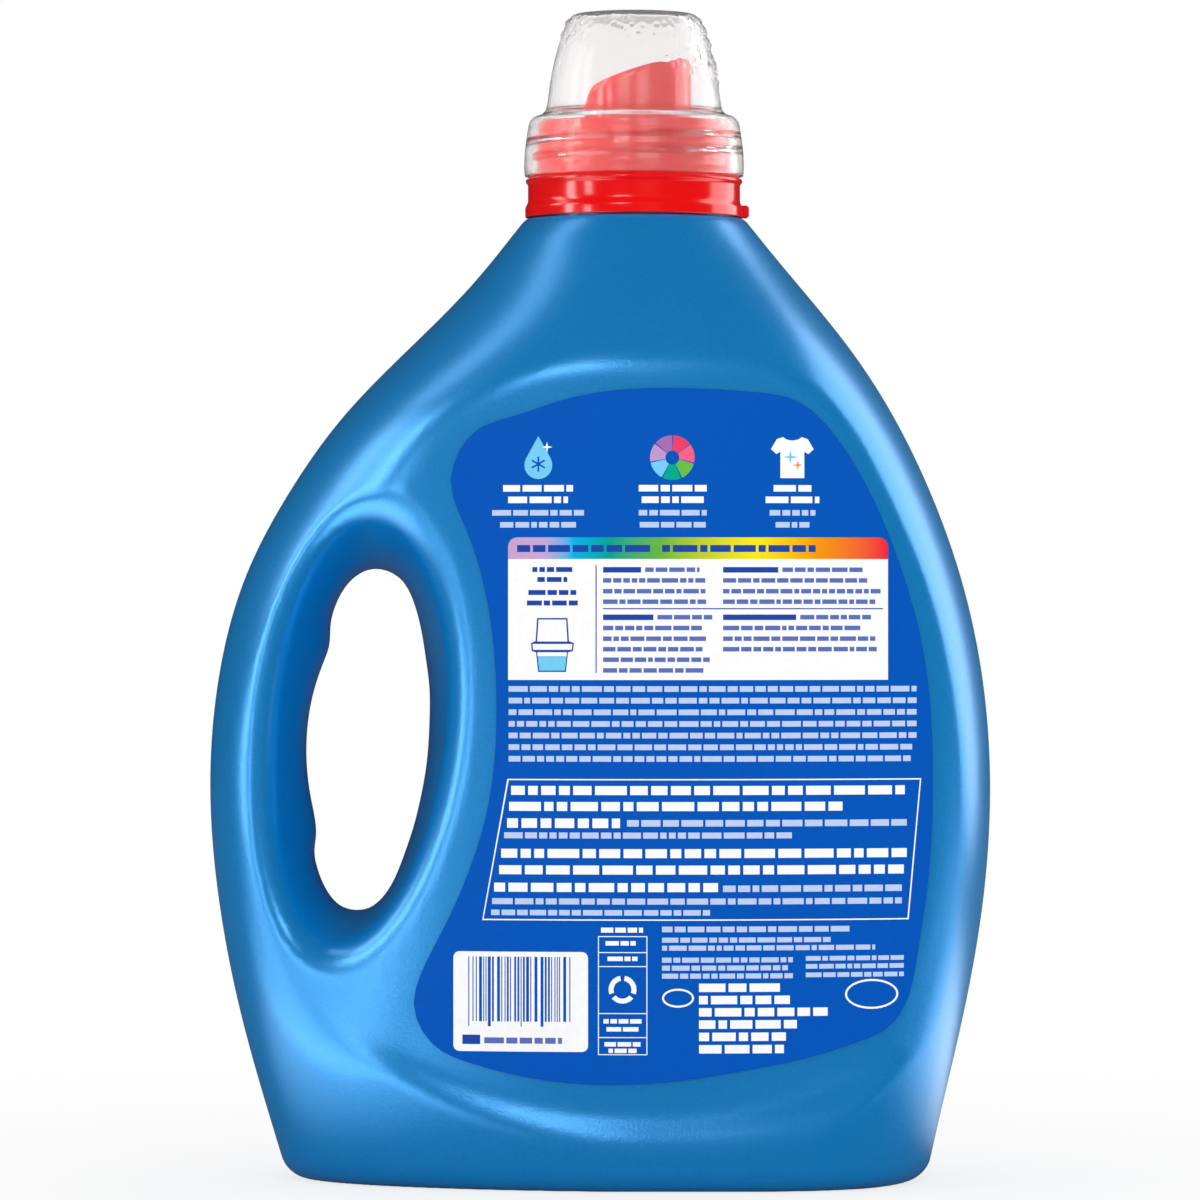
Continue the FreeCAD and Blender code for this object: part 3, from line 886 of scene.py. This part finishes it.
def cold_drop():
    """A drop with three crossed bars in it and a sparkle beside it."""
    shapes = [(drop(538.3, 436, 479, 14), "sky")]
    middle = np.array([538.3, 464.0])
    for arm in range(3):
        turn = math.pi * arm / 3
        across = np.array([math.cos(turn), math.sin(turn)]) * 0.9
        along = np.array([-math.sin(turn), math.cos(turn)]) * 7.5
        bar = (across + along, along - across, -across - along, across - along)
        shapes.append(([tuple(middle + corner) for corner in bar], "blue"))
    shapes.append((star(547, 447, 4, 5.5, 1.5), "white"))
    return shapes


def colour_wheel():
    tones = ("rose", "pink", "green", "teal", "sky", "lilac", "violet")
    share = 360 / len(tones)
    return [(wedge(672.3, 457.7, 7, 22.3, share * i + 3, share * i + share - 0.5), tone)
            for i, tone in enumerate(tones)]


def symbols():
    """The row of three pictures at the top: a drop, a colour wheel and a shirt."""
    shapes = cold_drop() + colour_wheel()
    shirt = [(783, 437), (787, 439.5), (792.5, 440.5), (798, 439.5), (802, 437), (808, 439), (814, 449),
             (808.5, 454), (804.5, 451.5), (804.5, 478), (780.5, 478), (780.5, 451.5), (776.5, 454),
             (771, 449), (777, 439)]
    shapes.append((shirt, "white"))
    shapes.append((star(790.7, 457, 4, 7.5, 1.8), "sky"))
    shapes.append((star(798, 465, 4, 5.5, 1.4), "orange"))
    return shapes


def headings(draw):
    """Four centred rows under each picture."""
    shapes = []
    columns = ((538, (35, 30, 46, 38)), (672.7, (34, 31, 34, 33)), (792.7, (19, 27, 23, 17)))
    rows = ((485, 491.5, "white"), (496.5, 503, "white"), (510, 515.5, "pale"),
            (522, 527.5, "pale"))
    for middle, halves in columns:
        for half, (top, bottom, tone) in zip(halves, rows):
            shapes += centred_words(draw, middle, half, top, bottom, tone)
    return shapes


def cup_picture():
    """A measuring cup, part full."""
    return [
        ([(537, 618), (567.5, 618), (569, 641), (574, 643), (573, 651), (568, 652.5), (566, 672),
          (538, 672), (536, 652.5), (531.5, 651), (531, 643), (535.5, 641)], "dark"),
        ([(538.6, 619.6), (566, 619.6), (567.4, 641.5), (537.1, 641.5)], "white"),
        ([(532.6, 644), (572.4, 644), (571.6, 649.8), (533, 649.8)], "white"),
        ([(537.3, 652.3), (566.8, 652.3), (566.6, 656), (537.6, 656)], "white"),
        ([(537.6, 656), (566.6, 656), (564.8, 670.6), (539.2, 670.6)], "sky"),
    ]


def directions_panel(draw):
    """The white panel with its rainbow header, a measuring cup and columns of directions."""
    shapes = [(plate(HEADER_LEFT, 537.3, HEADER_RIGHT, 680, 9, 2), "white")]
    shapes.append((plate(HEADER_LEFT, 537.3, HEADER_RIGHT, 559, 9, 2), "rainbow"))
    shapes += words(draw, 517, 650, 545, 552, "dark")
    shapes += words(draw, 662, 816, 545, 552, "dark")
    for top, half in ((566, 20), (576, 15), (589, 24), (599.5, 25.5)):
        shapes += centred_words(draw, 552.3, half, top + 1, top + 6, "dark")
    shapes += cup_picture()
    shapes.append((plate(595.5, 565, 596.7, 673), "dark"))
    shapes.append((plate(603, 608.1, 884, 609.3), "dark"))
    tops = (566, 576.7, 587.5, 598, 613.5, 624.3, 635, 645.5, 656, 666.7)
    headings_at = {566: 0.34, 613.5: 0.45}
    for left, right, rows in ((603, 715, 10), (723, 886, 8)):
        length = right - left
        for top in tops[:rows]:
            end = right - draw.uniform(0, 0.16) * length
            if top in headings_at:
                split = left + headings_at[top] * length
                shapes += words(draw, left, split, top + 1, top + 6.6, "dark", True)
                shapes += words(draw, split + 4, end, top + 1.4, top + 6, "mid")
            else:
                shapes += words(draw, left, end, top + 1.4, top + 6, "mid")
    return shapes


def fine_print(draw):
    """Rows of small white print over a framed block with large and small rows."""
    shapes = []
    for row in range(7):
        top = 685.6 + 11.65 * row
        right = 918 if row < 5 else 921 - 1.5 * row
        shapes += words(draw, 508.5, right, top + 0.6, top + 6.2, "pale")
    frame = [(507.3, 779), (922.7, 779), (910, 920.6), (482, 920.6)]
    shapes += [(side, "white") for side in strip(frame, 1.3)]
    bold = ((786, 795, 511, 906), (802, 811, 509, 843), (818.5, 828, 507, 620), (849, 858, 501, 908),
            (865.5, 874.5, 499, 905), (883, 892, 494, 718))
    fine = ((820, 826.5, 627, 908), (832.5, 838.5, 504, 792), (885.5, 892, 723, 903),
            (898.5, 904.5, 492, 903), (910, 915.5, 491, 710))
    for rows, tone in ((bold, "white"), (fine, "pale")):
        for top, bottom, left, right in rows:
            shapes += words(draw, left, right, top, bottom, tone)
    return shapes


def bar_field(draw):
    """A white plate with bars of random widths, which code nothing."""
    shapes = [(plate(453, 952, 588, 1052, 6), "white")]
    x = 468.0
    while x < 571:
        width = draw.choice((1.1, 1.1, 2.0, 3.0))
        shapes.append((plate(x, 957, min(x + width, 573), 1022 + 5 * (draw.random() < 0.2)), "blue"))
        x += width + draw.choice((1.2, 1.2, 2.2, 3.1))
    shapes += words(draw, 462, 480, 1035.5, 1045, "dark", True)
    shapes += words(draw, 484, 562, 1038, 1044, "mid")
    return shapes


def framed_column(draw):
    """A narrow frame with rows of print and a ring of three arcs."""
    shapes = centred_words(draw, 622, 21, 927.5, 932.5, "white")
    frame = [(598, 936), (647.3, 936), (647.3, 1055), (598, 1055)]
    shapes += [(side, "white") for side in strip(frame, 0.9)]
    shapes += [(plate(599, y, 646.4, y + 0.9), "white") for y in (952, 966, 1013, 1037)]
    shapes += [(wedge(622.5, 989.5, 9, 14, start, start + 100), "white") for start in (10, 130, 250)]
    for top, half in ((941, 17), (956.5, 15), (1019, 19), (1027, 16), (1042, 18), (1048.5, 14)):
        shapes += centred_words(draw, 622.5, half, top, top + 4.4, "white")
    return shapes


def oval(x, y, wide, tall):
    angles = np.linspace(0, 2 * math.pi, 33)[:-1]
    return [(x + wide * math.cos(angle), y + tall * math.sin(angle)) for angle in angles]


def lower_print(draw):
    """The small print and the two empty ovals at the bottom right."""
    shapes = []
    rows = ((926.5, 850, 5.6), (937.5, 831, 5), (945.5, 876, 5), (957.5, 793, 5), (965.5, 788, 5),
            (973.5, 793, 5))
    for top, right, tall in rows:
        shapes += words(draw, 662, right, top, top + tall, "pale")
    for top in (956.5, 964.5, 973):
        shapes += words(draw, 806, 905, top, top + 4.6, "pale")
    for x, y, wide, tall in ((678, 998, 16, 9.5), (872.5, 995, 27, 15)):
        shapes += [(oval(x, y, wide, tall), "white"), (oval(x, y, wide - 2, tall - 2), "blue")]
    for top, width in ((983.5, 81), (995.8, 91), (1008, 129), (1020.3, 98), (1032.6, 87), (1045, 85)):
        shapes += words(draw, 699, 699 + width, top, top + 8.4, "white")
    return shapes


def back_print():
    """Everything on the instruction label; later shapes lie over earlier ones."""
    draw = random.Random(5)
    shapes = symbols()
    for part in (headings, directions_panel, fine_print, bar_field, framed_column, lower_print):
        shapes += part(draw)
    return shapes


def front_print():
    """The unseen side holds a plain generic design: bubbles over two soft waves."""
    draw = random.Random(8)
    shapes = []
    along = np.linspace(440, 970, 60)
    for middle, tall, tone in ((760, 26, "sky"), (820, 22, "white")):
        upper = [(x, middle + 18 * math.sin(x / 42)) for x in along]
        lower = [(x, y + tall) for x, y in reversed(upper)]
        shapes.append((upper + lower, tone))
    for _ in range(26):
        x, y, radius = draw.uniform(560, 850), draw.uniform(500, 700), draw.uniform(6, 24)
        tone = draw.choice(("sky", "white", "lilac"))
        shapes.append((wedge(x, y, radius * 0.82, radius, 0, 179.9), tone))
        shapes.append((wedge(x, y, radius * 0.82, radius, 180, 359.9), tone))
    return shapes


def label_material(name):
    """Printed film: a plain ink, or the rainbow that runs along the header."""
    material, tree, skin = new_material("print_" + name)
    set_values(skin, {"Roughness": 0.42, "Specular IOR Level": 0.04})
    grain = add_grain(tree, skin, 700, 0.04)
    ink = PRINT_COLOURS[name]
    if ink:
        darker = colour(*[0.97 * part for part in ink])
        paler = colour(*[min(255, 1.02 * part) for part in ink])
        colour_ramp(tree, grain, skin, [(0.0, darker), (1.0, paler)])
        return material
    place = tree.nodes.new("ShaderNodeTexCoord")
    split = tree.nodes.new("ShaderNodeSeparateXYZ")
    tree.links.new(place.outputs["Object"], split.inputs["Vector"])
    ends = [(edge - PRINT_MIDDLE[0]) * PRINT_UNIT * MM for edge in (HEADER_LEFT, HEADER_RIGHT)]
    along = map_range(tree, split.outputs["X"], *ends)
    stops = ((0.0, (200, 160, 205)), (0.09, (196, 165, 210)), (0.17, (0, 175, 230)), (0.27, (0, 160, 140)),
             (0.40, (100, 180, 60)), (0.65, (250, 230, 20)), (0.81, (245, 150, 0)), (1.0, (235, 30, 60)))
    colour_ramp(tree, along, skin, [(position, colour(*tone)) for position, tone in stops])
    return material


print_materials = {}


def panel_surface(x, z, start):
    """How far the bottle's broad side stands out at each place."""
    y = np.array(start, float)
    for _ in range(12):
        y -= np.clip(body_distance(x, y, z), -1, 1)
    return y


def sides_of(outline):
    return zip(outline, outline[1:] + outline[:1])


def finely(outline, step):
    """The outline with its long sides cut up, so that they follow the curved panel."""
    dense = []
    for a, b in sides_of(outline):
        cuts = max(1, int(math.ceil(math.dist(a, b) / step)))
        dense += [(a[0] + (b[0] - a[0]) * i / cuts, a[1] + (b[1] - a[1]) * i / cuts) for i in range(cuts)]
    return dense


def inside(outline, x, z):
    """Whether a place lies inside a closed outline."""
    crossed = False
    for a, b in sides_of(outline):
        if (a[1] > z) != (b[1] > z) and x < a[0] + (z - a[1]) / (b[1] - a[1]) * (b[0] - a[0]):
            crossed = not crossed
    return crossed


def counter_clockwise(outline):
    area = sum(a[0] * b[1] - b[0] * a[1] for a, b in sides_of(outline))
    return outline if area > 0 else outline[::-1]


def on_bottle(outline):
    """A shape of the print grid in millimetres on the bottle."""
    spots = [((x - PRINT_MIDDLE[0]) * PRINT_UNIT, PRINT_HEIGHT + (PRINT_MIDDLE[1] - y) * PRINT_UNIT)
             for x, y in outline]
    return counter_clockwise(finely(spots, LABEL_GRID))


def cut_film(shapes):
    """The flat label cut along every printed shape: x and z of its points, its faces and their inks."""
    edge = closed_loop(LABEL_OUTLINE, 160)
    border = [(LABEL_CENTRE[0] + LABEL_HALF[0] * a, LABEL_CENTRE[1] + LABEL_HALF[1] * b) for a, b in edge]
    outlines = [counter_clockwise(border)] + [on_bottle(outline) for outline, _ in shapes]
    tones = ["blue"] + [tone for _, tone in shapes]
    points = []
    loops = []
    for outline in outlines:
        loops.append(list(range(len(points), len(points) + len(outline))))
        points += outline
    for x in np.arange(-46, 86, LABEL_GRID):
        for z in np.arange(22, 200, LABEL_GRID):
            place = (x + 0.013 * z, z + 0.017 * x)
            if inside(border, *place):
                points.append(place)
    made = delaunay_2d_cdt([Vector(p) for p in points], [], loops, 1, 1e-4, True)
    kept = [(face, tones[max(owner)]) for face, owner in zip(made[2], made[5]) if 0 in owner]
    x = np.array([p.x for p in made[0]])
    z = np.array([p.y for p in made[0]])
    return x, z, [face for face, _ in kept], [tone for _, tone in kept]


def film_faces(faces, side, count):
    """Front, back and rim faces of a film of two sheets with count points each."""
    front = [tuple(face) if side < 0 else tuple(face[::-1]) for face in faces]
    back = [tuple(v + count for v in face[::-1]) for face in front]
    used = {edge: True for face in front for edge in sides_of(face)}
    rim = [(b, a, a + count, b + count) for a, b in used if (b, a) not in used]
    return front + back + rim


def paint(label, inks):
    """Gives each front face its ink and all other faces the plain colour."""
    slots = {}
    for ink in inks:
        if ink in slots:
            continue
        slots[ink] = len(slots)
        if ink not in print_materials:
            print_materials[ink] = label_material(ink)
        label.data.materials.append(print_materials[ink])
    indices = [slots[ink] for ink in inks]
    plain = [slots["blue"]] * (len(label.data.polygons) - len(inks))
    label.data.polygons.foreach_set("material_index", indices + plain)


def drop_loose_points(thing):
    bm = bmesh.new()
    bm.from_mesh(thing.data)
    loose = [vert for vert in bm.verts if not vert.link_faces]
    bmesh.ops.delete(bm, geom=loose, context="VERTS")
    bm.to_mesh(thing.data)
    bm.free()


def make_label(name, node, side, shapes):
    """A thin film whose front is cut along every printed shape."""
    x, z, faces, inks = cut_film(shapes)
    surface = panel_surface(x, z, panel_depth(x, z))
    sheets = [np.stack([x, side * (surface + lift), z], axis=1)
              for lift in (LABEL_LIFT + LABEL_THICK, LABEL_LIFT)]
    label = new_object(name, np.concatenate(sheets), film_faces(faces, side, len(x)))
    paint(label, inks)
    shade(label, 50)
    drop_loose_points(label)
    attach(label, "bottle")
    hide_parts(node)


# Glowing patches painted on the floor that only the gloss sees, standing in for lamps so they paint
# reflected highlights on the bottle's lower sides: centre, radii of full and no effect, strength
PAINTED_REFLECTION_PATCHES = [
    ((-0.26, -0.15, 0), 0.11, 0.21, 5.0),
    ((-0.60, -0.60, 0), 0.20, 0.45, 1.6),
    ((0.30, 0.08, 0), 0.11, 0.21, 3.0),
    ((0.65, -0.20, 0), 0.18, 0.38, 2.2),
]
# Painted reflection glow of the rest of the floor, as the gloss sees it
PAINTED_REFLECTION_ELSEWHERE = 0.08

# Floor, in metres; its fade gives two distances and the share of white at each
FLOOR_HALF = 3.0
FLOOR_FADE = (0.08, 0.45, 0.75, 1.0)
WORLD_AMBIENT = 0.95
WORLD_IN_GLOSS = 0.025
VIEW_HEIGHT = 0.14425
VIEW_DISTANCE = 1.8


def lit_shader(tree, strength=None):
    """A white glow, of a strength that comes from a node if one is given."""
    glow = tree.nodes.new("ShaderNodeEmission")
    if strength is not None:
        tree.links.new(strength, glow.inputs["Strength"])
    return glow.outputs["Emission"]


def seen_directly(tree):
    """Light path node, and 1 for rays from the camera, through clear plastic too."""
    path = tree.nodes.new("ShaderNodeLightPath")
    rays = (path.outputs["Is Camera Ray"], path.outputs["Is Transmission Ray"])
    return path, combined(tree, "MAXIMUM", *rays)


def painted_floor_reflection(tree, place):
    """Painted reflection: how brightly each place on the floor glows in the gloss of the bottle."""
    brightest = None
    for centre, near, far, strength in PAINTED_REFLECTION_PATCHES:
        spread = tree.nodes.new("ShaderNodeVectorMath")
        spread.operation = "DISTANCE"
        spread.inputs[1].default_value = centre
        tree.links.new(place, spread.inputs[0])
        patch = map_range(tree, spread.outputs["Value"], near, far, strength, PAINTED_REFLECTION_ELSEWHERE)
        if brightest is not None:
            patch = combined(tree, "MAXIMUM", brightest, patch)
        brightest = patch
    return brightest


def make_floor():
    """A pale floor that goes over into the white background away from the bottle."""
    size = FLOOR_HALF
    floor = new_object("floor", [(-size, -size, 0), (size, -size, 0), (size, size, 0), (-size, size, 0)],
                       [(0, 1, 2, 3)], 1.0)
    material, tree, skin = new_material("floor_white")
    set_values(skin, {"Base Color": (0.9, 0.9, 0.9, 1), "Roughness": 0.8})
    place = tree.nodes.new("ShaderNodeTexCoord").outputs["Object"]
    distance = tree.nodes.new("ShaderNodeVectorMath")
    distance.operation = "LENGTH"
    tree.links.new(place, distance.inputs[0])
    fade = map_range(tree, distance.outputs["Value"], *FLOOR_FADE)
    path, direct = seen_directly(tree)
    share = combined(tree, "MULTIPLY", fade, direct)
    plain = mixed(tree, share, skin.outputs["BSDF"], lit_shader(tree))
    # Glossy rays see the floor glow instead: a painted reflection that puts highlights on the bottle's lower
    # sides
    painted_reflection_glow = lit_shader(tree, painted_floor_reflection(tree, place))
    surface = mixed(tree, path.outputs["Is Glossy Ray"], plain, painted_reflection_glow)
    tree.links.new(surface, tree.nodes["Material Output"].inputs["Surface"])
    floor.data.materials.append(material)


def background(tree, strength):
    white = tree.nodes.new("ShaderNodeBackground")
    set_values(white, {"Color": (1, 1, 1, 1), "Strength": strength})
    return white.outputs["Background"]


def make_world():
    """White where it is seen, nearly dark in the gloss, and plain light for everything else."""
    world = bpy.data.worlds.new("studio")
    bpy.context.scene.world = world
    world.use_nodes = True
    tree = world.node_tree
    path, direct = seen_directly(tree)
    ambient = tree.nodes["Background"]
    set_values(ambient, {"Color": (1, 1, 1, 1), "Strength": WORLD_AMBIENT})
    unseen = mixed(tree, path.outputs["Is Glossy Ray"], ambient.outputs["Background"],
                   background(tree, WORLD_IN_GLOSS))
    surface = mixed(tree, direct, unseen, background(tree, 1.0))
    tree.links.new(surface, tree.nodes["World Output"].inputs["Surface"])


def area_light(name, azimuth, elevation, distance, width, height, power, shine=True):
    """A soft box; shine says whether it is there for reflections or for plain light."""
    lamp = bpy.data.lights.new(name, "AREA")
    lamp.shape = "RECTANGLE"
    lamp.size = width
    lamp.size_y = height
    lamp.energy = power
    holder = add_object(name, lamp)
    a = math.radians(azimuth)
    e = math.radians(elevation)
    away = Vector((math.sin(a) * math.cos(e), -math.cos(a) * math.cos(e), math.sin(e)))
    holder.location = Vector((0, 0, 0.14)) + away * distance
    holder.rotation_mode = "QUATERNION"
    holder.rotation_quaternion = away.to_track_quat("Z", "Y")
    holder.visible_diffuse = not shine
    holder.visible_glossy = shine


def make_lights():
    area_light("soft_left", -72, 4, 1.3, 0.22, 1.5, 10.5)
    area_light("soft_ridge", -92, 25, 1.3, 0.3, 0.5, 2.6)
    area_light("soft_right", 114, 8, 1.3, 1.1, 2.0, 23.5)
    area_light("soft_top", -98, 52, 1.5, 0.3, 0.7, 2.0)
    area_light("soft_crest", -14, 20, 2.2, 0.6, 0.3, 7)
    area_light("soft_flank", -50, 3, 1.6, 0.2, 0.35, 2.2)
    area_light("soft_front", 16, 8, 3.0, 1.2, 1.6, 17, False)


def make_camera():
    camera = bpy.data.cameras.new("camera")
    holder = add_object("camera", camera)
    camera.sensor_width = 36
    camera.lens = 216
    camera.clip_end = 20
    holder.location = (0, -VIEW_DISTANCE, VIEW_HEIGHT)
    holder.rotation_euler = (math.pi / 2, 0, 0)
    bpy.context.scene.camera = holder


make_bottle()
make_pour_spout()
make_dosing_cap()
make_label("label_back", "back_label", -1, back_print())
make_label("label_front", "front_label", 1, front_print())
make_floor()
make_world()
make_lights()
make_camera()
bpy.context.scene.view_settings.view_transform = "Standard"
